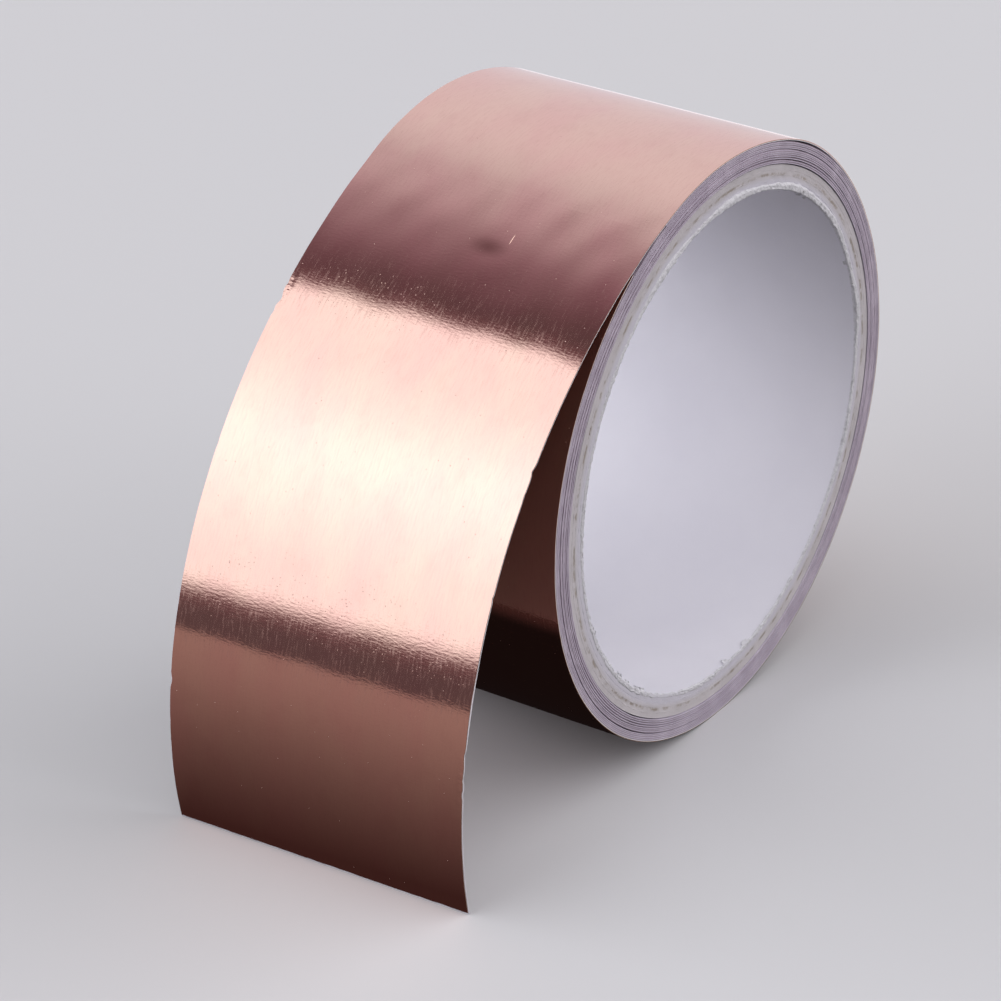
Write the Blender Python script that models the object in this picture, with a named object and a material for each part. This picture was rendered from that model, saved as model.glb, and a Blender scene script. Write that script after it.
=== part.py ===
"""Copper foil tape roll: a wound strip of foil, adhesive and release liner on a paperboard core.

Frame: origin on the core's axis at mid-width, roll axis along Y, +Z up, free tail on the -X side.
The strip winds outwards anticlockwise as seen from -Y, copper outside and release liner inside.
"""

import math

import bmesh
import bpy

MM = 0.001

# Driving dimensions
TAPE_WIDTH = 50.0 * MM
ROLL_RADIUS = 46.35 * MM
BORE_RADIUS = 38.9 * MM
CORE_RADIUS = 42.6 * MM
CORE_LINER_THICKNESS = 0.4 * MM
CORE_BOARD_PLIES = 4
PLY_GLUE_GAP = 0.02 * MM

# The strip's layers, from the outside in
FOIL_THICKNESS = 0.07 * MM
ADHESIVE_THICKNESS = 0.035 * MM
LINER_THICKNESS = 0.105 * MM
LAYER_GAP = 0.012 * MM

# The wound pack under the outermost turn
WOUND_TURNS = 11
WOUND_INNER_RADIUS = 42.95 * MM
WOUND_OUTER_RADIUS = 45.95 * MM

# The strip's start, stuck to the core by a double-sided tab
TAB_THICKNESS = 0.1 * MM
TAB_GAP = 0.01 * MM
TAB_WIDTH = 44.0 * MM
TAB_FIRST_FACET = 15
TAB_FACETS = 3

# The outermost turn and the free tail that leaves it on a tangent
DEPARTURE_ANGLE = math.radians(113.0)
OUTER_TURN_ARC = math.radians(348.0)
TAIL_LENGTH = 111.4 * MM
TAIL_START_CURVATURE = 1.0 / (101.0 * MM)
TAIL_END_CURVATURE = 1.0 / (66.0 * MM)
HINGE_STATIONS = (11.0 * MM, 29.0 * MM, 47.0 * MM, 65.0 * MM)
PEEL_STATION = 88.0 * MM
HINGE_GAP = 0.3 * MM

# How finely the curves are divided
CORE_SEGMENTS = 48
WOUND_SEGMENTS_PER_TURN = 32
OUTER_TURN_SEGMENTS = 58
TAIL_STEP = 4.5 * MM
FACET_MARGIN = 0.01 * MM
INTEGRATION_STEPS = 400

# Layer name -> (depth of its outer face, depth of its inner face) below the foil's outer face
ADHESIVE_DEPTH = FOIL_THICKNESS + LAYER_GAP
LINER_DEPTH = ADHESIVE_DEPTH + ADHESIVE_THICKNESS + LAYER_GAP
STRIP_THICKNESS = LINER_DEPTH + LINER_THICKNESS
LAYERS = {
    "foil": (0.0, FOIL_THICKNESS),
    "adhesive": (ADHESIVE_DEPTH, ADHESIVE_DEPTH + ADHESIVE_THICKNESS),
    "liner": (LINER_DEPTH, STRIP_THICKNESS),
}
FINISH_OF = {"foil": "copper_foil", "adhesive": "adhesive", "liner": "release_liner"}

# Finish name -> (colour, roughness, metallic)
FINISHES = {
    "copper_foil": ((0.80, 0.44, 0.33), 0.22, 1.0),
    "adhesive": ((0.62, 0.55, 0.40), 0.45, 0.0),
    "release_liner": ((0.78, 0.76, 0.80), 0.6, 0.0),
    "core_board": ((0.45, 0.43, 0.39), 0.85, 0.0),
    "core_liner": ((0.80, 0.80, 0.82), 0.7, 0.0),
    "start_tab": ((0.72, 0.70, 0.60), 0.6, 0.0),
}


def clear_scene():
    for obj in list(bpy.data.objects):
        bpy.data.objects.remove(obj, do_unlink=True)


def finish_material(finish, name):
    """One Principled material for one object."""
    colour, roughness, metallic = FINISHES[finish]
    material = bpy.data.materials.new(name)
    material.use_nodes = True
    shader = material.node_tree.nodes["Principled BSDF"]
    shader.inputs["Base Color"].default_value = (*colour, 1.0)
    shader.inputs["Roughness"].default_value = roughness
    shader.inputs["Metallic"].default_value = metallic
    return material


def axis_of(pivot_empty):
    """x and z of a pivot's axis in the assembly, through all its parents."""
    x = z = 0.0
    while pivot_empty is not None:
        x += pivot_empty.location.x
        z += pivot_empty.location.z
        pivot_empty = pivot_empty.parent
    return x, z


def pivot(name, x, z, parent=None):
    """An empty on a joint's axis; the axis itself runs along Y."""
    empty = bpy.data.objects.new(name, None)
    bpy.context.collection.objects.link(empty)
    empty.empty_display_size = 5.0 * MM
    parent_x, parent_z = axis_of(parent)
    empty.parent = parent
    empty.location = (x - parent_x, 0.0, z - parent_z)
    return empty


def ribbon_solid(name, outer, inner, width, finish, parent, closed=False):
    """A thin strip: its edge profile is drawn at -Y as a ribbon of quads and extruded along +Y.

    outer and inner are matching lists of (x, z) points, anticlockwise as seen from -Y.
    """
    ox, oz = axis_of(parent)
    bm = bmesh.new()
    rows = [
        [bm.verts.new((x - ox, -width / 2, z - oz)) for x, z in side] for side in (outer, inner)
    ]
    last = len(outer) if closed else len(outer) - 1
    for i in range(last):
        j = (i + 1) % len(outer)
        bm.faces.new((rows[0][i], rows[0][j], rows[1][j], rows[1][i]))
    extruded = bmesh.ops.extrude_face_region(bm, geom=list(bm.faces))
    moved = [v for v in extruded["geom"] if isinstance(v, bmesh.types.BMVert)]
    bmesh.ops.translate(bm, verts=moved, vec=(0.0, width, 0.0))
    bmesh.ops.recalc_face_normals(bm, faces=list(bm.faces))
    mesh = bpy.data.meshes.new(name)
    bm.to_mesh(mesh)
    bm.free()
    mesh.shade_smooth()
    mesh.set_sharp_from_angle(angle=math.radians(35.0))
    mesh.materials.append(finish_material(finish, name))
    obj = bpy.data.objects.new(name, mesh)
    bpy.context.collection.objects.link(obj)
    obj.parent = parent


def on_circle(radius, angle):
    return radius * math.cos(angle), radius * math.sin(angle)


def tube(name, outer_radius, inner_radius, finish, parent):
    angles = [math.tau * i / CORE_SEGMENTS for i in range(CORE_SEGMENTS)]
    outer = [on_circle(outer_radius, a) for a in angles]
    inner = [on_circle(inner_radius, a) for a in angles]
    ribbon_solid(name, outer, inner, TAPE_WIDTH, finish, parent, closed=True)


def core(parent):
    """A white paper liner ply inside board plies of equal thickness, glued into one tube."""
    liner_outer = BORE_RADIUS + CORE_LINER_THICKNESS
    tube("core_inner_liner", liner_outer, BORE_RADIUS, "core_liner", parent)
    ply_pitch = (CORE_RADIUS - liner_outer) / CORE_BOARD_PLIES
    for ply in range(CORE_BOARD_PLIES):
        outer_radius = liner_outer + ply_pitch * (ply + 1)
        inner_radius = outer_radius - ply_pitch + PLY_GLUE_GAP
        tube(f"core_board_ply_{ply + 1}", outer_radius, inner_radius, "core_board", parent)


def start_tab(parent):
    """Holds the strip's first centimetres down on the core; its facets follow the core's."""
    facets = range(TAB_FIRST_FACET, TAB_FIRST_FACET + TAB_FACETS + 1)
    angles = [math.tau * facet / CORE_SEGMENTS for facet in facets]
    inner_radius = CORE_RADIUS + TAB_GAP
    outer = [on_circle(inner_radius + TAB_THICKNESS, a) for a in angles]
    inner = [on_circle(inner_radius, a) for a in angles]
    ribbon_solid("start_tab", outer, inner, TAB_WIDTH, "start_tab", parent)


def wound_strip(parent):
    """Three nested spirals, one for each layer, with their facets in line from turn to turn."""
    steps = WOUND_TURNS * WOUND_SEGMENTS_PER_TURN
    first = DEPARTURE_ANGLE - math.tau * WOUND_TURNS
    start_radius = WOUND_INNER_RADIUS + STRIP_THICKNESS
    growth = WOUND_OUTER_RADIUS - start_radius
    for layer, (outer_depth, inner_depth) in LAYERS.items():
        outer, inner = [], []
        for i in range(steps + 1):
            angle = first + math.tau * i / WOUND_SEGMENTS_PER_TURN
            radius = start_radius + growth * i / steps
            outer.append(on_circle(radius - outer_depth, angle))
            inner.append(on_circle(radius - inner_depth, angle))
        ribbon_solid(f"wound_{layer}", outer, inner, TAPE_WIDTH, FINISH_OF[layer], parent)


def tail_heading(s):
    """Direction of travel along the tail, s metres past the departure point."""
    growth = (TAIL_END_CURVATURE - TAIL_START_CURVATURE) / TAIL_LENGTH
    return DEPARTURE_ANGLE + math.pi / 2 + TAIL_START_CURVATURE * s + growth * s * s / 2


def tail_point(s, depth=0.0):
    """A point of the tail, depth metres below the foil's outer face."""
    x, z = on_circle(ROLL_RADIUS, DEPARTURE_ANGLE)
    step = s / INTEGRATION_STEPS
    for i in range(INTEGRATION_STEPS):
        heading = tail_heading((i + 0.5) * step)
        x += math.cos(heading) * step
        z += math.sin(heading) * step
    heading = tail_heading(s)
    return x - math.sin(heading) * depth, z + math.cos(heading) * depth


def tail_stations():
    """Where every layer of the tail has its facet lines, so that the layers nest."""
    stations = [TAIL_STEP * i for i in range(1, int(TAIL_LENGTH / TAIL_STEP) + 1)]
    for cut in HINGE_STATIONS + (PEEL_STATION,):
        stations += [cut - HINGE_GAP / 2, cut + HINGE_GAP / 2]
    return sorted(stations)


def tail_span(start, end, depth):
    """Points of one stretch of the tail at one depth."""
    inside = [s for s in tail_stations() if start + FACET_MARGIN < s < end - FACET_MARGIN]
    return [tail_point(s, depth) for s in [start, *inside, end]]


def outer_turn(parent):
    """The outermost turn, laid round the pack with running clearance, and the tail's lead."""
    lead_end = HINGE_STATIONS[0] - HINGE_GAP / 2
    for layer, depths in LAYERS.items():
        sides = []
        for depth in depths:
            arc = [
                on_circle(
                    ROLL_RADIUS - depth,
                    DEPARTURE_ANGLE - OUTER_TURN_ARC * (1 - i / OUTER_TURN_SEGMENTS),
                )
                for i in range(OUTER_TURN_SEGMENTS)
            ]
            sides.append(arc + tail_span(0.0, lead_end, depth))
        ribbon_solid(f"outer_turn_{layer}", *sides, TAPE_WIDTH, FINISH_OF[layer], parent)


def tail(root):
    """The hanging tail, cut at the bend lines, each piece on its own hinge empty."""
    half_gap = HINGE_GAP / 2
    hinge_depth = STRIP_THICKNESS / 2
    liner_depth = sum(LAYERS["liner"]) / 2
    ends = HINGE_STATIONS[1:] + (TAIL_LENGTH,)
    parent = root
    for number, (start, end) in enumerate(zip(HINGE_STATIONS, ends), 1):
        parent = pivot(f"tail_hinge_{number}", *tail_point(start, hinge_depth), parent)
        is_tip = end == TAIL_LENGTH
        stop = end if is_tip else end - half_gap
        for layer, depths in LAYERS.items():
            layer_stop = PEEL_STATION - half_gap if is_tip and layer == "liner" else stop
            sides = [tail_span(start + half_gap, layer_stop, depth) for depth in depths]
            name = f"tail_{layer}_{number}"
            ribbon_solid(name, *sides, TAPE_WIDTH, FINISH_OF[layer], parent)
    peel = pivot("liner_peel_hinge", *tail_point(PEEL_STATION, liner_depth), parent)
    sides = [tail_span(PEEL_STATION + half_gap, TAIL_LENGTH, d) for d in LAYERS["liner"]]
    ribbon_solid("liner_flap", *sides, TAPE_WIDTH, "release_liner", peel)


clear_scene()

roll_axis = pivot("roll_axis", 0.0, 0.0)
core(roll_axis)
start_tab(roll_axis)
wound_strip(roll_axis)
outer_turn_axis = pivot("outer_turn_axis", 0.0, 0.0)
outer_turn(outer_turn_axis)
tail(outer_turn_axis)
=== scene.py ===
"""Copper foil tape roll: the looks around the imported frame.

The strip is drawn as one continuous sheet of foil, adhesive and release liner. A point of it is
(s, y, depth): s runs along the strip in metres from the line where the tail leaves the roll
(negative round the roll, positive down the tail), y runs across it, and depth runs in from the
copper's outer face. Angles round the roll are measured from +X towards +Z.
"""

import math

import bpy
import numpy as np
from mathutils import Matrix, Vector


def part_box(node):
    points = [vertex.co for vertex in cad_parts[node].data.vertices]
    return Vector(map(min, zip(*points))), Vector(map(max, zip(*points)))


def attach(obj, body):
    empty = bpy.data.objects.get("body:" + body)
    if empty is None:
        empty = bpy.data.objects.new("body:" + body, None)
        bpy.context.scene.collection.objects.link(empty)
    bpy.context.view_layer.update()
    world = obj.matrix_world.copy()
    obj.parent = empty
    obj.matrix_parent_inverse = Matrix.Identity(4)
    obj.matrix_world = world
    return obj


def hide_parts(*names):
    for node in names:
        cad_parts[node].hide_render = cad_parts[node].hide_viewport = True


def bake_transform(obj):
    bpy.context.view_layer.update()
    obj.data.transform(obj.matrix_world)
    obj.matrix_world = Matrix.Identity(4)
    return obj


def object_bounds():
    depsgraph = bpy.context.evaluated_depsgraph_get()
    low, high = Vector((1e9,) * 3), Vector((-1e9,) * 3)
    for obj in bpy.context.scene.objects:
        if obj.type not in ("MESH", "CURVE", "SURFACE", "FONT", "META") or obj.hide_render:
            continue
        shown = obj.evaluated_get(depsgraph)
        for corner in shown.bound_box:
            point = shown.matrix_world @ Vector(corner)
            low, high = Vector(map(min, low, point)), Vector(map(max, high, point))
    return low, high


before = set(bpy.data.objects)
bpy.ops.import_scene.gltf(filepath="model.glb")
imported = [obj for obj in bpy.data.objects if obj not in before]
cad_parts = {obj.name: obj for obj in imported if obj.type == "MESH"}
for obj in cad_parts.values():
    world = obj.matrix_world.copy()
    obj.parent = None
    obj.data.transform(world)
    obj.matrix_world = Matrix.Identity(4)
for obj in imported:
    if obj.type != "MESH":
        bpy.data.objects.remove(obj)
cad_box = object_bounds()

MM = 0.001
TAU = math.tau


# ---------------------------------------------------------------- dimensions from the frame

def node_radii(node):
    """Smallest and largest distance of a node's vertices from the roll's axis."""
    points = np.array([v.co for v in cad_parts[node].data.vertices], float)
    radii = np.hypot(points[:, 0], points[:, 2])
    return radii.min(), radii.max()


HALF = (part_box("outer_turn_foil")[1].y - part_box("outer_turn_foil")[0].y) / 2
FLOOR_Z = cad_box[0][2]
BORE_RADIUS, LINER_PLY_RADIUS = node_radii("core_inner_liner")
BOARD_RADII = [node_radii(f"core_board_ply_{ply}")[1] for ply in (1, 2, 3, 4)]
CORE_RADIUS = BOARD_RADII[-1]

# The strip's layers, from the outside in: (outer depth, inner depth), and their material slots
LAYERS = {
    "foil": (0.0, 0.07 * MM),
    "adhesive": (0.078 * MM, 0.115 * MM),
    "liner": (0.122 * MM, 0.234 * MM),
}
SLOTS = {"foil": "copper_foil", "adhesive": "adhesive", "liner": "release_liner"}
THICKNESS = LAYERS["liner"][1]
RUNNING_GAP = 0.055 * MM
ROLL_RADIUS = node_radii("outer_turn_foil")[0] + LAYERS["foil"][1]
PACK_RADIUS = node_radii("outer_turn_liner")[0] - RUNNING_GAP

# The tail's curve: tangent at the departure line, its curvature growing evenly to the cut end.
# The twist is what the curvature (1/m) and its growth (1/m2) gain from the middle to the +Y edge.
DEPARTURE = math.radians(113.0)
TAIL_LENGTH = 111.4 * MM
START_CURVATURE = 1 / (101 * MM)
END_CURVATURE = 1 / (66 * MM)
CURVATURE_GROWTH = (END_CURVATURE - START_CURVATURE) / TAIL_LENGTH
TWIST_CURVATURE = -0.68
TWIST_GROWTH = 13.0
OUTER_TURN_ARC = math.radians(348.0)

# The outer turn stands off the pack a little: how far, and where (middle and spread, degrees)
LIFT = 0.24 * MM
LIFT_PLACE = (60, 13)

# The cut end: the foil stops short of the floor, and the liner spreads past the foil's edges
FOIL_SHORT = 0.26 * MM
LINER_SPREAD = 0.006
LINER_SPREAD_FROM = 55 * MM
LINER_SPREAD_OVER = 30 * MM

# Where the tail's sheets start and end, the tail's bodies, and where its liner peels
BEND_EDGES = (2 * MM, 20 * MM, 38 * MM, 56 * MM, 74 * MM)
TAIL_BODIES = ("outer_turn", "tail_1", "tail_2", "tail_3", "tail_4")
PEEL_EDGES = (88 * MM, 98 * MM)

WOUND_TURNS = 11
JOG_SHARE = 0.15

# The core's plies
PLY_INSET = 0.08 * MM
PLY_CHAMFER = 0.004 * MM
PLY_GAP = 0.002 * MM

# Torn paper at each mouth: where its rim is widest, and how its flakes crowd (degrees)
WIDEST_RIM = 40
FLAKES = 30
CROWDED_FLAKES = 18
CROWDED_ARC = (188, 242)

# Mesh steps: along the ring and the tail, and round a turn of the pack, the core and its rim
RING_STEP = 0.9 * MM
TAIL_STEP = 0.5 * MM
SEGMENTS_PER_TURN = 288
CORE_STEPS = 480
RIM_STEPS = 1440


# ---------------------------------------------------------------- smooth deterministic noise

def ripple(seed, size, *coordinates, waves=14):
    """Band-limited noise in about -1..1: a sum of sines with fixed random directions."""
    random = np.random.default_rng(seed)
    total = 0.0
    for _ in range(waves):
        direction = random.normal(size=len(coordinates))
        direction *= TAU * random.uniform(0.6, 1.5) / (size * np.linalg.norm(direction))
        phase = random.uniform(0, TAU)
        total = total + np.sin(sum(d * c for d, c in zip(direction, coordinates)) + phase)
    return total * math.sqrt(2 / waves) / 1.6


def smooth_step(t):
    t = np.clip(t, 0, 1)
    return t * t * (3 - 2 * t)


def bump(value, centre, spread):
    return np.exp(-(((value - centre) / spread) ** 2))


# ---------------------------------------------------------------- mesh building

def quads(rows, columns, offset, outward):
    """Faces of a grid of vertices, wound so that they face outwards or inwards."""
    i = np.arange(rows - 1)[:, None]
    j = np.arange(columns - 1)[None, :]
    here = i * columns + j
    below = (i + 1) * columns + j
    corners = [here, here + 1, below + 1, below] if outward else [here, below, below + 1, here + 1]
    return np.stack([c + offset for c in corners], -1).reshape(-1, 4)


def new_mesh_object(name, vertices, faces, uv, material, sharp=40.0):
    mesh = bpy.data.meshes.new(name)
    mesh.from_pydata(vertices.tolist(), [], faces.tolist())
    layer = mesh.uv_layers.new(name="strip")
    corner = np.zeros(len(mesh.loops), np.int32)
    mesh.loops.foreach_get("vertex_index", corner)
    layer.data.foreach_set("uv", uv[corner].astype(np.float32).ravel())
    mesh.shade_smooth()
    mesh.set_sharp_from_angle(angle=math.radians(sharp))
    mesh.materials.append(material)
    obj = bpy.data.objects.new(name, mesh)
    bpy.context.scene.collection.objects.link(obj)
    return obj


def sheet_arrays(outer, inner):
    """Vertices and faces of a thin closed solid between two matching grids of points."""
    rows, columns = outer.shape[:2]
    count = rows * columns
    faces = [quads(rows, columns, 0, True), quads(rows, columns, count, False)]
    edge = np.arange(rows) * columns
    top = np.arange(columns)
    for line, flip in (
        (edge, False),
        (edge + columns - 1, True),
        (top, True),
        (top + (rows - 1) * columns, False),
    ):
        a, b = line[:-1], line[1:]
        side = [a, b, b + count, a + count] if not flip else [b, a, a + count, b + count]
        faces.append(np.stack(side, -1))
    return np.concatenate([outer.reshape(-1, 3), inner.reshape(-1, 3)]), np.concatenate(faces)


def sheet(name, outer, inner, uv, material):
    """A closed thin solid between two matching grids of points, rows along s, columns along y."""
    vertices, faces = sheet_arrays(outer, inner)
    return new_mesh_object(name, vertices, faces, np.concatenate([uv.reshape(-1, 2)] * 2), material)


def revolved(name, radius, height, angles, material, sharp=40.0):
    """A closed ring: radius and height give, per angle (rows), a closed section (columns)."""
    rows, columns = radius.shape
    turn = angles[:, None]
    points = np.stack([radius * np.cos(turn), height, radius * np.sin(turn)], -1)
    i = np.arange(rows)[:, None]
    j = np.arange(columns)[None, :]
    here = i * columns + j
    right = i * columns + (j + 1) % columns
    down = ((i + 1) % rows) * columns + j
    across = ((i + 1) % rows) * columns + (j + 1) % columns
    faces = np.stack([here, right, across, down], -1).reshape(-1, 4)
    uv = np.stack(np.broadcast_arrays(turn * CORE_RADIUS, height), -1).reshape(-1, 2)
    return new_mesh_object(name, points.reshape(-1, 3), faces, uv, material, sharp)


# ---------------------------------------------------------------- the strip's shape

def tail_curve(y, stations):
    """x, z and heading of the copper's face at each station, for one place across the strip."""
    side = y / HALF
    curvature = START_CURVATURE + TWIST_CURVATURE * side
    growth = CURVATURE_GROWTH + TWIST_GROWTH * side
    fine = np.linspace(0, max(stations[-1], MM), 1200)
    heading = DEPARTURE + math.pi / 2 + curvature * fine + growth * fine**2 / 2
    middle = (heading[1:] + heading[:-1]) / 2
    step = fine[1] - fine[0]
    x = ROLL_RADIUS * math.cos(DEPARTURE) + np.concatenate([[0], np.cumsum(np.cos(middle)) * step])
    z = ROLL_RADIUS * math.sin(DEPARTURE) + np.concatenate([[0], np.cumsum(np.sin(middle)) * step])
    return (
        np.interp(stations, fine, x),
        np.interp(stations, fine, z),
        np.interp(stations, fine, heading),
    )


def waviness(s, y):
    """How far the hand-handled foil stands in or out of its ideal curve."""
    ridges = 0.030 * MM * ripple(11, 24 * MM, 0.22 * s, y)
    furrows = 0.013 * MM * ripple(12, 10 * MM, 0.25 * s, y)
    handled = 0.026 * MM * ripple(14, 8 * MM, 0.6 * s, y) * bump(s, 4 * MM, 13 * MM)
    dent = -0.030 * MM * bump(s, 12 * MM, 2.4 * MM) * bump(y, -2.2 * MM, 3.0 * MM)
    dent = dent - 0.040 * MM * bump(s, 18 * MM, 4.0 * MM) * bump(y, -6.5 * MM, 6.0 * MM)
    on_roll = 0.35 + 0.65 * smooth_step((s + 4 * MM) / (30 * MM))
    return (ridges + furrows) * on_roll + handled + dent


NICKS = (  # (s, side, length, depth): small tears in the strip's two edges
    (29.0, 1, 0.9, 0.45), (31.2, 1, 0.5, 0.30), (26.4, 1, 0.4, 0.2), (88.0, 1, 0.7, 0.35),
    (97.0, 1, 1.2, 0.18), (42.5, -1, 0.8, 0.40), (46.0, -1, 0.5, 0.28), (84.5, -1, 1.1, 0.30),
    (87.5, -1, 0.8, 0.36), (90.2, -1, 0.5, 0.25), (61.0, -1, 0.4, 0.16), (52.0, 1, 0.5, 0.15),
)


def edge_trim(s, y):
    """The strip's edges aren't ruler straight: a faint wander and a few nicks."""
    side = np.sign(y)
    near_edge = smooth_step((np.abs(y) - (HALF - 0.8 * MM)) / (0.8 * MM))
    trim = 0.03 * MM * ripple(21, 14 * MM, s, 40 * y)
    ragged = 0.7 + 0.3 * ripple(22, 0.5 * MM, s)
    for at, nick_side, length, depth in NICKS:
        hit = bump(s, at * MM, length * MM) * (side == nick_side)
        trim = trim + depth * MM * hit * ragged
    return y - side * near_edge * np.abs(trim)


def strip_points(s, y, depth):
    """World points of the strip for grids of s and y."""
    x, z, heading = (np.zeros(s.shape) for _ in range(3))
    for column in range(s.shape[1]):
        curve = tail_curve(y[0, column], np.maximum(s[:, column], 0))
        x[:, column], z[:, column], heading[:, column] = curve
    on_roll = s < 0
    angle = DEPARTURE + s / ROLL_RADIUS
    radius = ROLL_RADIUS + LIFT * bump(np.degrees(angle), *LIFT_PLACE) * on_roll
    x = np.where(on_roll, radius * np.cos(angle), x)
    z = np.where(on_roll, radius * np.sin(angle), z)
    heading = np.where(on_roll, angle + math.pi / 2, heading)
    out = waviness(s, y) - depth
    return np.stack([x + np.sin(heading) * out, edge_trim(s, y), z - np.cos(heading) * out], -1)


def reach_to_floor(y):
    """Length along the strip at which its copper face meets the floor, for one place across it."""
    stations = np.linspace(0.9 * TAIL_LENGTH, 1.1 * TAIL_LENGTH, 400)
    _, z, _ = tail_curve(y, stations)
    return np.interp(-FLOOR_Z - 0.05 * MM, -z, stations)


def end_line(y, layer):
    """How far a layer reaches at each place across the tail: the liner down to the floor, the
    foil and its adhesive a hair short of it."""
    reach = np.array([reach_to_floor(place) for place in y])
    if layer == "liner":
        return reach
    rough = 0.05 * MM * ripple(31, 1.4 * MM, y) + 0.04 * MM * ripple(32, 7 * MM, y)
    return reach - FOIL_SHORT - np.abs(rough)


COLUMNS = np.concatenate(
    [
        np.linspace(-HALF, -HALF + 1 * MM, 6)[:-1],
        np.linspace(-HALF + 1 * MM, HALF - 1 * MM, 49),
        np.linspace(HALF - 1 * MM, HALF, 6)[1:],
    ]
)


def strip_piece(name, start, end, step, layer, material, cut_end=False):
    """One layer of the strip from start to end, or down to the cut end's own uneven line."""
    rows = max(2, round((end - start) / step) + 1)
    y = np.broadcast_to(COLUMNS, (rows, len(COLUMNS)))
    along = np.linspace(0, 1, rows)[:, None]
    stop = end_line(COLUMNS, layer)[None, :] if cut_end else end
    s = start + (stop - start) * along * np.ones_like(y)
    if layer == "liner":
        y = y * (1 + LINER_SPREAD * smooth_step((s - LINER_SPREAD_FROM) / LINER_SPREAD_OVER))
    outer_depth, inner_depth = LAYERS[layer]
    uv = np.stack([s, y], -1)
    outer = strip_points(s, y, outer_depth)
    inner = strip_points(s, y, inner_depth)
    return sheet(name, outer, inner, uv, material)


def strip_station(s):
    """A point in the middle of the strip."""
    grid = np.full((1, 1), s)
    return tuple(strip_points(grid, np.zeros((1, 1)), THICKNESS / 2)[0, 0])


# ---------------------------------------------------------------- material nodes

class Nodes:
    """A short way to write a node tree."""

    def __init__(self, tree):
        self.tree = tree

    def add(self, kind, **settings):
        node = self.tree.nodes.new(kind)
        for key, value in settings.items():
            setattr(node, key, value)
        return node

    def put(self, socket, value):
        if isinstance(value, bpy.types.NodeSocket):
            self.tree.links.new(value, socket)
        else:
            socket.default_value = value

    def math(self, operation, *values):
        node = self.add("ShaderNodeMath", operation=operation)
        for socket, value in zip(node.inputs, values):
            self.put(socket, value)
        return node.outputs[0]

    def ramp(self, value, low, high, to_low=0.0, to_high=1.0):
        node = self.add("ShaderNodeMapRange", interpolation_type="SMOOTHSTEP")
        for socket, v in zip(node.inputs, (value, low, high, to_low, to_high)):
            self.put(socket, v)
        return node.outputs[0]

    def mix(self, factor, a, b, mode="MIX"):
        node = self.add("ShaderNodeMix", data_type="RGBA", blend_type=mode)
        self.put(node.inputs[0], factor)
        for socket, value in ((node.inputs[6], a), (node.inputs[7], b)):
            self.put(socket, (*value, 1.0) if isinstance(value, tuple) and len(value) == 3 else value)
        return node.outputs[2]

    def mix_shader(self, factor, a, b):
        node = self.add("ShaderNodeMixShader")
        for socket, value in zip(node.inputs, (factor, a, b)):
            self.put(socket, value)
        return node.outputs[0]

    def scaled(self, vector, scale):
        node = self.add("ShaderNodeVectorMath", operation="MULTIPLY")
        self.put(node.inputs[0], vector)
        node.inputs[1].default_value = scale
        return node.outputs[0]

    def noise(self, vector, scale=1.0, detail=2.0, roughness=0.5):
        node = self.add("ShaderNodeTexNoise")
        self.put(node.inputs["Vector"], vector)
        node.inputs["Scale"].default_value = scale
        node.inputs["Detail"].default_value = detail
        node.inputs["Roughness"].default_value = roughness
        return node.outputs[0]

    def specks(self, vector, scale, size):
        """1 inside small scattered dots, 0 elsewhere."""
        node = self.add("ShaderNodeTexVoronoi")
        self.put(node.inputs["Vector"], vector)
        node.inputs["Scale"].default_value = scale
        return self.ramp(node.outputs["Distance"], size * 0.6, size, 1.0, 0.0)

    def patch(self, strip, centre, reach):
        """1 at a place on the strip, fading to 0 at its reach along and across, all in mm."""
        moved = self.add("ShaderNodeVectorMath", operation="SUBTRACT")
        self.put(moved.inputs[0], strip)
        moved.inputs[1].default_value = (*centre, 0)
        length = self.add("ShaderNodeVectorMath", operation="LENGTH")
        self.put(length.inputs[0], self.scaled(moved.outputs[0], (1 / reach[0], 1 / reach[1], 0)))
        return self.ramp(length.outputs["Value"], 0.0, 1.0, 1.0, 0.0)

    def bump(self, height, distance, strength=1.0, normal=None):
        node = self.add("ShaderNodeBump")
        node.inputs["Distance"].default_value = distance
        node.inputs["Strength"].default_value = strength
        self.put(node.inputs["Height"], height)
        if normal is not None:
            self.put(node.inputs["Normal"], normal)
        return node.outputs[0]


def material(name):
    """A new material: its node helper, its Principled shader, and coordinates in millimetres."""
    made = bpy.data.materials.new(name)
    made.use_nodes = True
    nodes = Nodes(made.node_tree)
    shader = made.node_tree.nodes["Principled BSDF"]
    coordinates = nodes.add("ShaderNodeTexCoord")
    strip = nodes.scaled(coordinates.outputs["UV"], (1000, 1000, 1000))
    solid = nodes.scaled(coordinates.outputs["Object"], (1000, 1000, 1000))
    return made, nodes, shader, strip, solid


# Marks on the copper: centre (along, across) and reach (along, across), in mm on the strip
THUMB = (12.0, -2.0), (2.3, 4.2)
SCRATCH = (9.8, -4.7), (1.3, 0.12)
CRIMPS = ((27.5, 24.6), (4.5, 1.1)), ((88.0, -24.6), (7.0, 0.9))
WORN = ((69.0, 0.0), (8.0, 60.0)), ((25.0, 10.0), (6.0, 15.0))
DEEPER_RIPPLES = (68.0, 0.0), (13.0, 90.0)


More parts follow.
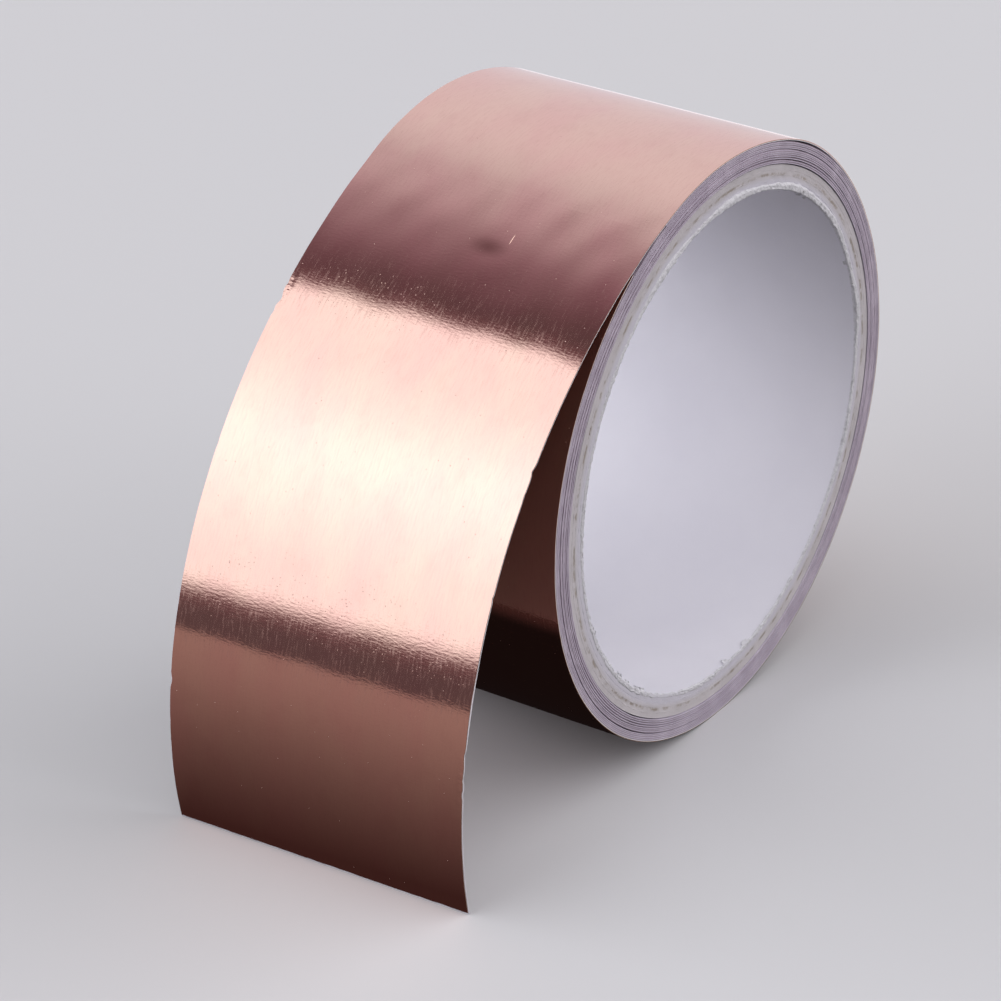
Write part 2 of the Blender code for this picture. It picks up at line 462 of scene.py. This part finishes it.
def copper_foil():
    """Rolled foil: hair-fine lines along it, tiny ripples across it, smudges, dust and a scratch."""
    made, n, shader, strip, _ = material("copper_foil")
    hairs = n.noise(n.scaled(strip, (0.45, 3.0, 1)), 1.0, 3.0, 0.65)
    lines = n.noise(n.scaled(strip, (0.035, 1.3, 1)), 1.0, 4.0, 0.6)
    ripples = n.noise(n.scaled(strip, (3.2, 1.0, 1)), 1.0, 2.0, 0.5)
    clouds = n.noise(n.scaled(strip, (0.05, 0.11, 1)), 1.0, 3.0, 0.55)
    smudges = n.noise(n.scaled(strip, (0.16, 0.20, 1)), 1.0, 3.0, 0.6)
    pits = n.specks(strip, 0.16, 0.020)
    dust = n.specks(n.scaled(strip, (1.0, 1.3, 1)), 0.50, 0.046)
    worn = n.math("MAXIMUM", *(n.patch(strip, *place) for place in WORN))
    worn = n.math("MULTIPLY", worn, n.ramp(smudges, 0.42, 0.56))
    glints = n.math("MULTIPLY", n.specks(n.scaled(strip, (1.0, 1.2, 1)), 1.3, 0.13), worn)
    dust = n.math("MAXIMUM", dust, glints)
    thumb = n.patch(strip, *THUMB)
    scratch = n.patch(strip, *SCRATCH)
    crimped = n.math("ADD", *(n.patch(strip, *place) for place in CRIMPS))
    colour = n.mix(n.ramp(clouds, 0.35, 0.7), (0.955, 0.655, 0.545), (0.945, 0.605, 0.525))
    colour = n.mix(n.math("MULTIPLY", n.ramp(hairs, 0.42, 0.68), 0.16), colour, (0.74, 0.45, 0.39))
    colour = n.mix(n.math("MULTIPLY", n.ramp(smudges, 0.48, 0.7), 0.11), colour, (0.70, 0.40, 0.35))
    colour = n.mix(n.math("MULTIPLY", thumb, 0.75), colour, (0.42, 0.24, 0.20))
    colour = n.mix(n.math("MULTIPLY", pits, 0.4), colour, (0.35, 0.17, 0.13))
    shader.inputs["Metallic"].default_value = 1.0
    n.put(shader.inputs["Base Color"], colour)
    scuffs = n.math("ADD", n.math("MULTIPLY", dust, 0.3), n.math("MULTIPLY", scratch, 0.3))
    brushed = n.math("ADD", n.ramp(lines, 0.3, 0.75, 0.045, 0.070), n.ramp(hairs, 0.45, 0.70, 0.0, 0.10))
    n.put(shader.inputs["Roughness"], n.math("ADD", brushed, scuffs))
    rippled = n.math("MULTIPLY", ripples, n.math("ADD", n.patch(strip, *DEEPER_RIPPLES), 1.0))
    normal = n.bump(rippled, 0.0046 * MM)
    normal = n.bump(hairs, 0.0020 * MM, 1.0, normal)
    crimps = n.noise(n.scaled(strip, (1.1, 0.5, 1)), 1.0, 2.0, 0.5)
    normal = n.bump(n.math("MULTIPLY", crimps, crimped), 0.05 * MM, 1.0, normal)
    raised = n.math("ADD", n.math("SUBTRACT", dust, pits), scratch)
    n.put(shader.inputs["Normal"], n.bump(raised, 0.03 * MM, 1.0, normal))
    return made


def release_liner():
    """White silicone paper. Where the copper mirrors it, it is painted dimmer and warmer than it looks:
    painted shade in its reflection.
    """
    made, n, shader, strip, solid = material("release_liner")
    fibres = n.noise(n.scaled(strip, (0.9, 1.6, 1)), 1.0, 6.0, 0.7)
    clouds = n.noise(solid, 0.12, 3.0, 0.5)
    colour = n.mix(n.ramp(clouds, 0.3, 0.7), (0.80, 0.78, 0.82), (0.72, 0.70, 0.75))
    colour = n.mix(n.math("MULTIPLY", n.ramp(fibres, 0.5, 0.8), 0.25), colour, (0.60, 0.58, 0.62))
    # painted shade: rays from the copper see the paper in a dim warm colour, as if shaded between tail
    # and roll
    mirrored = n.add("ShaderNodeLightPath").outputs["Is Glossy Ray"]
    n.put(shader.inputs["Base Color"], n.mix(mirrored, colour, (0.27, 0.175, 0.16)))
    n.put(shader.inputs["Roughness"], n.ramp(fibres, 0.3, 0.7, 0.38, 0.52))
    n.put(shader.inputs["Normal"], n.bump(fibres, 0.02 * MM, 0.5))
    return made


def adhesive():
    """Clear amber adhesive with faint coating streaks along the strip."""
    made, n, shader, strip, _ = material("adhesive")
    streaks = n.noise(n.scaled(strip, (0.05, 1.2, 1)), 1.0, 4.0, 0.6)
    colour = n.mix(streaks, (0.50, 0.34, 0.20), (0.66, 0.50, 0.33))
    n.put(shader.inputs["Base Color"], colour)
    n.put(shader.inputs["Roughness"], n.ramp(streaks, 0.3, 0.7, 0.12, 0.3))
    shader.inputs["Coat Weight"].default_value = 0.4
    n.put(shader.inputs["Normal"], n.bump(streaks, 0.01 * MM, 0.6))
    return made


def radius_of(n, solid):
    """Distance from the roll's axis in millimetres."""
    parts = n.add("ShaderNodeSeparateXYZ")
    n.put(parts.inputs[0], solid)
    squares = [n.math("MULTIPLY", parts.outputs[i], parts.outputs[i]) for i in (0, 2)]
    return n.math("SQRT", n.math("ADD", *squares))


def wound_edges(name, base, shade):
    """The strip's layers seen on edge: each wrap a little lighter or darker than the next."""
    made, n, shader, _, solid = material(name)
    radius = radius_of(n, solid)
    rings = n.add("ShaderNodeTexNoise", noise_dimensions="1D")
    n.put(rings.inputs["W"], n.math("MULTIPLY", radius, 5.5))
    rings.inputs["Detail"].default_value = 3.0
    patches = n.noise(solid, 0.25, 3.0, 0.6)
    fibres = n.noise(solid, 4.0, 4.0, 0.7)
    wraps = n.ramp(rings.outputs[0], 0.35, 0.65)
    amount = n.math("ADD", wraps, n.ramp(patches, 0.35, 0.7, -0.25, 0.25))
    colour = n.mix(amount, shade, base)
    colour = n.mix(n.math("MULTIPLY", n.ramp(fibres, 0.5, 0.75), 0.25), colour, shade)
    n.put(shader.inputs["Base Color"], colour)
    shader.inputs["Roughness"].default_value = 0.6
    n.put(shader.inputs["Normal"], n.bump(fibres, 0.02 * MM, 0.6))
    return made, shader


def core_board():
    """Grey board: a blotchy brown glue line partway in, bluer and lighter inside it."""
    made, n, shader, _, solid = material("core_board")
    radius = radius_of(n, solid)
    fibres = n.noise(solid, 3.2, 5.0, 0.7)
    patches = n.noise(solid, 0.16, 3.0, 0.6)
    blotches = n.noise(solid, 0.45, 3.0, 0.65)
    specks = n.specks(n.scaled(solid, (1, 0.2, 1)), 0.55, 0.11)
    wobble = n.math("MULTIPLY", n.math("SUBTRACT", n.noise(solid, 0.5, 4.0, 0.7), 0.5), 0.6)
    place = n.math("ADD", radius, wobble)
    glue_radius = BOARD_RADII[1] / MM + 0.25
    off_line = n.math("ABSOLUTE", n.math("SUBTRACT", place, glue_radius))
    line = n.math("MULTIPLY", n.ramp(off_line, 0.03, 0.36, 1.0, 0.0), n.ramp(blotches, 0.42, 0.6))
    colour = n.mix(n.ramp(patches, 0.3, 0.7), (0.61, 0.575, 0.588), (0.54, 0.508, 0.517))
    colour = n.mix(n.ramp(place, glue_radius - 1.2, glue_radius, 1.0, 0.0), colour, (0.63, 0.61, 0.67))
    colour = n.mix(n.math("MULTIPLY", line, 0.75), colour, (0.27, 0.22, 0.165))
    colour = n.mix(n.math("MULTIPLY", n.ramp(fibres, 0.52, 0.75), 0.35), colour, (0.64, 0.62, 0.62))
    dark = n.math("MULTIPLY", specks, n.ramp(line, 0.0, 1.0, 0.05, 0.85))
    colour = n.mix(dark, colour, (0.12, 0.10, 0.08))
    n.put(shader.inputs["Base Color"], colour)
    shader.inputs["Roughness"].default_value = 0.85
    n.put(shader.inputs["Normal"], n.bump(fibres, 0.05 * MM, 0.8))
    return made


def core_paper():
    """Smooth white paper with fine fibres and a few dark specks."""
    made, n, shader, strip, solid = material("core_inner_paper")
    fibres = n.noise(solid, 2.2, 6.0, 0.7)
    clouds = n.noise(solid, 0.05, 3.0, 0.6)
    specks = n.specks(strip, 0.11, 0.022)
    colour = n.mix(n.ramp(clouds, 0.3, 0.7), (0.755, 0.745, 0.795), (0.725, 0.715, 0.77))
    colour = n.mix(n.math("MULTIPLY", specks, 0.45), colour, (0.38, 0.36, 0.36))
    n.put(shader.inputs["Base Color"], colour)
    n.put(shader.inputs["Roughness"], n.ramp(fibres, 0.3, 0.7, 0.5, 0.65))
    n.put(shader.inputs["Normal"], n.bump(fibres, 0.03 * MM, 0.5))
    return made


def torn_paper():
    """The same paper where it is torn: greyer, mottled and fibrous."""
    made, n, shader, _, solid = material("torn_paper")
    fibres = n.noise(solid, 4.0, 5.0, 0.75)
    mottle = n.noise(solid, 1.1, 4.0, 0.7)
    pits = n.specks(n.scaled(solid, (1, 0.3, 1)), 0.8, 0.12)
    colour = n.mix(n.ramp(fibres, 0.3, 0.7), (0.60, 0.595, 0.62), (0.76, 0.755, 0.78))
    colour = n.mix(n.math("MULTIPLY", n.ramp(mottle, 0.50, 0.66), 0.45), colour, (0.42, 0.41, 0.43))
    colour = n.mix(n.math("MULTIPLY", pits, 0.65), colour, (0.26, 0.25, 0.22))
    n.put(shader.inputs["Base Color"], colour)
    shader.inputs["Roughness"].default_value = 0.9
    n.put(shader.inputs["Normal"], n.bump(fibres, 0.08 * MM, 0.9))
    return made


def start_tab_tape():
    """Tissue of the double-sided tape that starts the strip on the core."""
    made, n, shader, _, solid = material("start_tab")
    tissue = n.noise(solid, 1.5, 5.0, 0.7)
    n.put(shader.inputs["Base Color"], n.mix(tissue, (0.66, 0.62, 0.50), (0.80, 0.77, 0.68)))
    shader.inputs["Roughness"].default_value = 0.5
    n.put(shader.inputs["Normal"], n.bump(tissue, 0.03 * MM, 0.5))
    return made


# ---------------------------------------------------------------- pieces

def build_strip(finishes):
    """Outermost turn and tail: per layer one ring, four sheets between the bend edges, and the flap."""
    ring_start = -OUTER_TURN_ARC * ROLL_RADIUS
    bends = list(zip(BEND_EDGES, BEND_EDGES[1:], TAIL_BODIES, TAIL_BODIES[1:]))
    for layer, slot in SLOTS.items():
        finish = finishes[slot]
        ring = strip_piece(f"{layer}_outer_turn", ring_start, BEND_EDGES[0], RING_STEP, layer, finish)
        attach(ring, "outer_turn")
        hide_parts(f"outer_turn_{layer}")
        for number, (start, end, body, next_body) in enumerate(bends, 1):
            stop, cut_end = end, False
            if number == len(bends):
                stop = PEEL_EDGES[0] if layer == "liner" else TAIL_LENGTH
                cut_end = layer != "liner"
            piece = strip_piece(f"{layer}_tail_{number}", start, stop, TAIL_STEP, layer, finish, cut_end)
            strip_station(start)
            strip_station(end)
            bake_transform(piece)
            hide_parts(f"tail_{layer}_{number}")
    paper = finishes["release_liner"]
    flap = strip_piece("liner_end_flap", PEEL_EDGES[0], TAIL_LENGTH, TAIL_STEP, "liner", paper, True)
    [strip_station(s) for s in PEEL_EDGES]
    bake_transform(flap)
    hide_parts("liner_flap")


def wrap_radii(angles):
    """Outer radius of each wrap's copper face at each angle: gaps between wraps vary."""
    random = np.random.default_rng(5)
    share = random.uniform(0.35, 0.8, WOUND_TURNS) + 1.3 * (random.uniform(0, 1, WOUND_TURNS) > 0.62)
    gaps = np.stack([
        share[k] * (1 + 0.45 * np.sin(angles * (1 + k % 3) + random.uniform(0, TAU)))
        for k in range(WOUND_TURNS)
    ])
    inner = CORE_RADIUS + 0.13 * MM
    free = PACK_RADIUS - inner - WOUND_TURNS * THICKNESS
    gaps *= free / gaps.sum(0)
    return inner + np.cumsum(gaps + THICKNESS, 0)


def wound_layer(name, depths, finish):
    """One layer of the pack as a spiral; each wrap steps out to the next in a short jog."""
    turn = np.arange(round(JOG_SHARE * SEGMENTS_PER_TURN), WOUND_TURNS * SEGMENTS_PER_TURN + 1)
    turn = turn / SEGMENTS_PER_TURN
    whole = np.minimum(np.floor(turn), WOUND_TURNS - 1).astype(int)
    part = turn - whole
    angles = DEPARTURE + TAU * part
    radii = wrap_radii(angles)
    place = np.arange(len(turn))
    jog = smooth_step(part / JOG_SHARE)
    below = radii[np.maximum(whole - 1, 0), place]
    radius = below + (radii[whole, place] - below) * jog
    random = np.random.default_rng(8)
    wander = random.normal(0, 0.05 * MM, (2, WOUND_TURNS + 1))
    grids = []
    for depth in depths:
        r = radius - depth
        sides = []
        for side in (0, 1):
            shift = np.interp(turn, np.arange(WOUND_TURNS + 1), wander[side])
            shift = shift + 0.02 * MM * ripple(41 + side, 3 * MM, turn * TAU * CORE_RADIUS)
            y = (-HALF if side == 0 else HALF) + shift
            sides.append(np.stack([r * np.cos(angles), y, r * np.sin(angles)], -1))
        grids.append(np.stack(sides, 1))
    along = turn * TAU * CORE_RADIUS
    uv = np.stack([np.stack([along, grids[0][:, side, 1]], -1) for side in (0, 1)], 1)
    return sheet(name, grids[0], grids[1], uv, finish)


def build_pack(finishes):
    for layer, slot in SLOTS.items():
        piece = wound_layer(f"pack_{layer}", LAYERS[layer], finishes["edge_" + layer])
        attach(piece, "roll")
        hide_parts(f"wound_{layer}")


def ply_section(inner_radius, outer_radius):
    """A board ply's section from bore to rim at the -Y end, round the outside and back."""
    radii = np.linspace(inner_radius + PLY_CHAMFER, outer_radius - PLY_CHAMFER, 5)
    front = [(r, -HALF + PLY_INSET) for r in radii]
    back = [(r, HALF - PLY_INSET) for r in radii[::-1]]
    corner = PLY_CHAMFER + PLY_INSET
    return np.array(
        [(inner_radius, -HALF + corner), *front, (outer_radius, -HALF + corner),
         (outer_radius, HALF - corner), *back, (inner_radius, HALF - corner)]
    )


def board_ply(name, inner_radius, outer_radius, finish):
    """A ring of board, its sawn ends a little rough."""
    section = ply_section(inner_radius, outer_radius)
    angles = np.linspace(0, TAU, CORE_STEPS, endpoint=False)
    radius = np.broadcast_to(section[:, 0], (CORE_STEPS, len(section)))
    height = np.broadcast_to(section[:, 1], (CORE_STEPS, len(section))).copy()
    turn = angles[:, None]
    x, z = radius * np.cos(turn), radius * np.sin(turn)
    rough = 0.03 * MM * (ripple(50, 1.3 * MM, x, z) + 0.6 * ripple(51, 5 * MM, x, z))
    on_end = np.abs(height) > HALF - PLY_INSET - PLY_CHAMFER / 2
    height += np.where(on_end, np.sign(-height) * np.abs(rough), 0)
    return revolved(name, radius, height, angles, finish)


def build_core(finishes):
    inner = LINER_PLY_RADIUS + 0.015 * MM
    for ply, outer in enumerate(BOARD_RADII, 1):
        piece = board_ply(f"board_ply_{ply}", inner, outer - 2 * PLY_GAP, finishes["core_board"])
        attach(piece, "roll")
        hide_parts(f"core_board_ply_{ply}")
        inner = outer + PLY_GAP
    liner = bore_liner(finishes["core_paper"])
    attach(liner, "roll")
    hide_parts("core_inner_liner")
    for end, place in ((-1, "front"), (1, "back")):
        for torn in (
            frayed_rim(f"frayed_rim_{place}", end, finishes["torn_paper"]),
            paper_flakes(f"paper_flakes_{place}", end, finishes["torn_paper"]),
        ):
            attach(torn, "roll")


def bore_liner(finish):
    """The white paper inside the tube, with the faint lap of its helical winding."""
    angles = np.linspace(0, TAU, CORE_STEPS, endpoint=False)
    heights = np.linspace(-HALF + 0.05 * MM, HALF - 0.05 * MM, 41)
    inner = np.broadcast_to(heights[::-1], (CORE_STEPS, len(heights)))
    turn = angles[:, None]
    outer_edge = LINER_PLY_RADIUS - 0.01 * MM
    rise = 0.35 * CORE_RADIUS
    helix = (turn * rise + inner) / (TAU * rise)
    lap = 0.03 * MM * smooth_step((0.5 - np.abs(helix % 1.0 - 0.5)) / 0.01)
    radius_in = BORE_RADIUS + lap + 0.02 * MM * ripple(61, 12 * MM, turn * CORE_RADIUS, inner)
    radius = np.concatenate([np.full((CORE_STEPS, 2), outer_edge), radius_in], 1)
    ends = np.broadcast_to([heights[0], heights[-1]], (CORE_STEPS, 2))
    height = np.concatenate([ends, inner], 1)
    return revolved("bore_liner", radius, height, angles, finish)


def frayed_rim(name, end, finish):
    """The bore paper's torn edge, turned out over the board's end as a low uneven ridge."""
    angles = np.linspace(0, TAU, RIM_STEPS, endpoint=False)
    arc = angles[:, None] * BORE_RADIUS
    share = np.linspace(0, 1, 15)[None, :]
    off_widest = (angles[:, None] - math.radians(WIDEST_RIM) + math.pi) % TAU - math.pi
    wide_side = bump(off_widest, 0, 1.5)
    full = 0.62 + 0.36 * wide_side + 0.12 * ripple(70 + end, 24 * MM, arc)
    inside = BORE_RADIUS - 0.07 * MM + 0.06 * MM * ripple(73 + end, 2.4 * MM, arc)
    inside += 0.05 * MM * ripple(76 + end, 0.7 * MM, arc)
    outside = BORE_RADIUS + 1.25 * MM * full + 0.07 * MM * ripple(71 + end, 3.0 * MM, arc)
    top_radius = inside + (outside - inside) * share
    ridge = smooth_step(0.70 + share / 0.30) * smooth_step((1 - share) / 0.42)
    along, across = arc + 0 * share, 1.4 * MM * share + 0 * arc
    lumps = 0.045 * MM * ripple(74 + end, 1.0 * MM, along, across)
    lumps += 0.035 * MM * ripple(75 + end, 0.45 * MM, along, across)
    top = HALF - 0.20 * MM + 0.42 * MM * ridge * full**2 + lumps * ridge
    bottom_radius = top_radius[:, [-1, 0]]
    bottom = np.broadcast_to([HALF - 0.6 * MM, HALF - 0.28 * MM], (RIM_STEPS, 2))
    radius = np.concatenate([top_radius, bottom_radius], 1)
    height = end * np.concatenate([top, bottom], 1)
    if end > 0:
        radius, height = radius[:, ::-1], height[:, ::-1]
    return revolved(name, radius, height, angles, finish, 60.0)


def paper_flakes(name, end, finish):
    """Torn bits of the bore paper, lifted at the mouth of the tube."""
    random = np.random.default_rng(90 + end)
    outer, inner = [], []
    for k in range(FLAKES):
        crowded = k < CROWDED_FLAKES
        angle = math.radians(random.uniform(*(CROWDED_ARC if crowded else (0, 360))))
        length, width = random.uniform(0.7, 2.0) * MM, random.uniform(0.4, 0.9) * MM
        u, v = np.meshgrid(np.linspace(-1, 1, 7), np.linspace(0, 1, 4), indexing="ij")
        ragged = 1 + 0.35 * ripple(200 + k, 1.1, 2 * u, 1.5 * v)
        turn = angle + u * length / 2 / BORE_RADIUS * ragged
        depth = 0.25 * MM + v * width * (1 - 0.55 * u**2) * ragged
        rise = random.uniform(0.30, 0.75) if crowded else random.uniform(0.10, 0.30)
        lift = 0.05 * MM + rise * MM * v**1.5 + 0.04 * MM * np.abs(u)
        height = end * (HALF - depth)
        for grids, thick in ((outer, 0.05 * MM), (inner, 0.0)):
            radius = BORE_RADIUS - lift + thick
            grids.append(np.stack([radius * np.cos(turn), height, radius * np.sin(turn)], -1))
    pieces = [sheet_arrays(a, b) for a, b in zip(outer, inner)]
    if end > 0:
        pieces = [(vertices, faces[:, ::-1]) for vertices, faces in pieces]
    offsets = np.cumsum([0] + [len(vertices) for vertices, _ in pieces])
    vertices = np.concatenate([vertices for vertices, _ in pieces])
    faces = np.concatenate([faces + offset for (_, faces), offset in zip(pieces, offsets)])
    return new_mesh_object(name, vertices, faces, vertices[:, :2], finish)


def build_tab(finishes):
    """The start tab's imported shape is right, so it keeps its mesh."""
    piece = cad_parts["start_tab"]
    piece.data.materials.clear()
    piece.data.materials.append(finishes["start_tab"])


# ---------------------------------------------------------------- stage, light and camera

# The floor glows to every ray but the camera's, as a painted reflection of a dark table: its colours by
# the object (painted shade, dimmer close by), further off, beyond it as the camera looks and beneath the
# tail (a painted shadow); what lights the matt surfaces; and where it ends, in metres
TABLE_NEAR_PAINTED_SHADE = (0.042, 0.020, 0.019)
TABLE_FAR = (0.305, 0.208, 0.198)
TABLE_BEYOND = (1.0, 0.98, 1.04)
TABLE_UNDER_PAINTED_SHADOW = (0.008, 0.005, 0.005)
TABLE_MATT = (0.085, 0.08, 0.08)
TABLE_FALL = 0.060
TABLE_END = (0.28, 0.33)
BEYOND_FROM_TO = (0.07, 0.13)

CAMERA_PLACE = (-0.49836, -0.31943, 0.29539)
CAMERA_AIM = (0.7342, 0.4932, -0.4667)
CAMERA_LENS = 156.6

# Soft boxes, in degrees: azimuth from, to, edge; elevation from, to, lower edge, upper edge; how
# much the box leans (elevation per azimuth from its middle); colour.
ROOM = (0.098, 0.066, 0.074)
REFLECTED = (
    (110, 182, 8, 2.4, 63.7, 2.4, 1.4, 0.28, (0.93, 1.04, 1.07)),
    (110, 182, 8, 0.4, 65.2, 4.4, 2.9, 0.28, (0.12, 0.045, 0.055)),
    (135, 160, 16, 24, 44, 16, 12, 0, (0.40, 0.44, 0.44)),
    (-22, 75, 37, -40, 66, 6, 10, 0, (0.63, 0.64, 0.70)),
    (66, 104, 14, 44, 68, 6, 6, 0, (0.060, 0.002, 0.028)),
    (-179, -24, 20, 12, 64, 12, 6, 0, (0.50, 0.49, 0.51)),
    (-180, 180, 1, 70, 91, 4, 1, 0, (1.3, 1.3, 1.3)),
)
LIT_FROM = (
    (95, 178, 12, 2, 42, 6, 8, 0, (2.85, 2.83, 3.0)),
    (-95, -12, 15, 8, 50, 8, 10, 0, (2.50, 2.43, 2.53)),
    (-178, -95, 20, 5, 66, 10, 10, 0, (0.48, 0.46, 0.475)),
    (-180, 180, 1, 62, 91, 8, 1, 0, (1.0, 1.0, 1.0)),
)
SHADE = (0.10, 0.10, 0.105)
BACKDROP = (0.56, 0.56, 0.565)


def build_floor():
    """Pale and plain to the eye. The object sees it glow as a painted reflection of a dark table, with
    painted shade close by and a painted shadow beneath the tail, ending at 0.3 m.
    """
    reach = 3.0
    mesh = bpy.data.meshes.new("floor")
    corners = [(-reach, -reach), (reach, -reach), (reach, reach), (-reach, reach)]
    mesh.from_pydata([(x, y, FLOOR_Z) for x, y in corners], [], [(0, 1, 2, 3)])
    floor = bpy.data.objects.new("floor", mesh)
    bpy.context.scene.collection.objects.link(floor)
    made = bpy.data.materials.new("pale_floor")
    made.use_nodes = True
    made.cycles.emission_sampling = "NONE"
    n = Nodes(made.node_tree)
    shader = made.node_tree.nodes["Principled BSDF"]
    shader.inputs["Base Color"].default_value = (0.62, 0.62, 0.63, 1.0)
    shader.inputs["Roughness"].default_value = 0.6
    shader.inputs["Specular IOR Level"].default_value = 0.2
    coordinates = n.add("ShaderNodeTexCoord")
    parts = n.add("ShaderNodeSeparateXYZ")
    n.put(parts.inputs[0], coordinates.outputs["Object"])
    outside = []
    for axis in (0, 1):
        centre = (cad_box[0][axis] + cad_box[1][axis]) / 2
        half = (cad_box[1][axis] - cad_box[0][axis]) / 2
        from_centre = n.math("ABSOLUTE", n.math("SUBTRACT", parts.outputs[axis], centre))
        past = n.math("MAXIMUM", n.math("SUBTRACT", from_centre, half), 0.0)
        outside.append(n.math("MULTIPLY", past, past))
    distance = n.math("SQRT", n.math("ADD", *outside))
    fall = n.math("SUBTRACT", 1.0, n.math("EXPONENT", n.math("MULTIPLY", distance, -1 / TABLE_FALL)))
    away = Vector(CAMERA_AIM[:2]).normalized()
    beyond = n.math("ADD", *(n.math("MULTIPLY", parts.outputs[axis], away[axis]) for axis in (0, 1)))
    # painted shade: the table's glow is dimmer close by the object
    painted_shade_near_and_far = n.mix(fall, TABLE_NEAR_PAINTED_SHADE, TABLE_FAR)
    glow = n.mix(n.ramp(beyond, *BEYOND_FROM_TO), painted_shade_near_and_far, TABLE_BEYOND)
    foot = strip_station(TAIL_LENGTH)[0]
    # painted shadow: the glow turns near black beneath the tail
    behind_tail = n.ramp(parts.outputs[0], foot + 0.5 * MM, foot + 9 * MM)
    painted_shadow_under = n.math("MULTIPLY", behind_tail, n.ramp(distance, 0.0, 6 * MM, 1.0, 0.0))
    # the glow that all rays but the camera's see in place of the pale floor: a painted reflection
    table = n.add("ShaderNodeEmission")
    path = n.add("ShaderNodeLightPath")
    mirrored = n.mix(painted_shadow_under, glow, TABLE_UNDER_PAINTED_SHADOW)
    n.put(table.inputs["Color"], n.mix(path.outputs["Is Diffuse Ray"], mirrored, TABLE_MATT))
    clear = n.add("ShaderNodeBsdfTransparent")
    seen = n.mix_shader(n.ramp(distance, *TABLE_END), table.outputs[0], clear.outputs[0])
    both = n.mix_shader(path.outputs["Is Camera Ray"], seen, shader.outputs[0])
    n.put(made.node_tree.nodes["Material Output"].inputs["Surface"], both)
    mesh.materials.append(made)


def environment(n, azimuth, elevation, base, boxes):
    """The colour seen in a direction: the base colour and every soft box that covers it."""
    total = base
    for low_az, high_az, az_edge, low_el, high_el, low_edge, high_edge, lean, colour in boxes:
        off_middle = n.math("SUBTRACT", azimuth, (low_az + high_az) / 2)
        level = n.math("SUBTRACT", elevation, n.math("MULTIPLY", off_middle, lean))
        sides = (
            n.ramp(azimuth, low_az - az_edge, low_az + az_edge),
            n.ramp(azimuth, high_az - az_edge, high_az + az_edge, 1.0, 0.0),
            n.ramp(level, low_el - low_edge, low_el + low_edge),
            n.ramp(level, high_el - high_edge, high_el + high_edge, 1.0, 0.0),
        )
        patch = sides[0]
        for side in sides[1:]:
            patch = n.math("MULTIPLY", patch, side)
        total = n.mix(patch, total, colour, "ADD")
    return total


def build_world():
    """A dark studio with soft boxes: metal mirrors one set, and matt surfaces are lit by another."""
    world = bpy.data.worlds.new("studio")
    bpy.context.scene.world = world
    world.use_nodes = True
    n = Nodes(world.node_tree)
    coordinates = n.add("ShaderNodeTexCoord")
    parts = n.add("ShaderNodeSeparateXYZ")
    n.put(parts.inputs[0], coordinates.outputs["Generated"])
    azimuth = n.math("DEGREES", n.math("ARCTAN2", parts.outputs[1], parts.outputs[0]))
    elevation = n.math("DEGREES", n.math("ARCSINE", parts.outputs[2]))
    path = n.add("ShaderNodeLightPath")
    lit_from = environment(n, azimuth, elevation, SHADE, LIT_FROM)
    reflected = environment(n, azimuth, elevation, ROOM, REFLECTED)
    colour = n.mix(path.outputs["Is Glossy Ray"], lit_from, reflected)
    colour = n.mix(path.outputs["Is Camera Ray"], colour, BACKDROP)
    n.put(world.node_tree.nodes["Background"].inputs["Color"], colour)


def build_camera():
    """Looks down on the roll from its tail's side, through a long lens."""
    data = bpy.data.cameras.new("camera")
    data.sensor_width = 36.0
    data.lens = CAMERA_LENS
    camera = bpy.data.objects.new("camera", data)
    bpy.context.scene.collection.objects.link(camera)
    camera.location = CAMERA_PLACE
    camera.rotation_euler = Vector(CAMERA_AIM).to_track_quat("-Z", "Y").to_euler()
    bpy.context.scene.camera = camera


def main():
    finishes = {
        "copper_foil": copper_foil(),
        "release_liner": release_liner(),
        "adhesive": adhesive(),
        "core_board": core_board(),
        "core_paper": core_paper(),
        "torn_paper": torn_paper(),
        "start_tab": start_tab_tape(),
    }
    edge_foil, foil_shader = wound_edges("wound_copper", (0.60, 0.51, 0.59), (0.36, 0.28, 0.35))
    foil_shader.inputs["Metallic"].default_value = 0.25
    edge_adhesive, _ = wound_edges("wound_adhesive_edge", (0.51, 0.45, 0.53), (0.33, 0.28, 0.35))
    edge_liner, _ = wound_edges("wound_liner_edge", (0.75, 0.69, 0.79), (0.53, 0.47, 0.57))
    finishes.update(edge_foil=edge_foil, edge_adhesive=edge_adhesive, edge_liner=edge_liner)
    build_strip(finishes)
    build_pack(finishes)
    build_core(finishes)
    build_tab(finishes)
    build_floor()
    build_world()
    build_camera()
    bpy.context.scene.view_settings.view_transform = "Standard"


main()
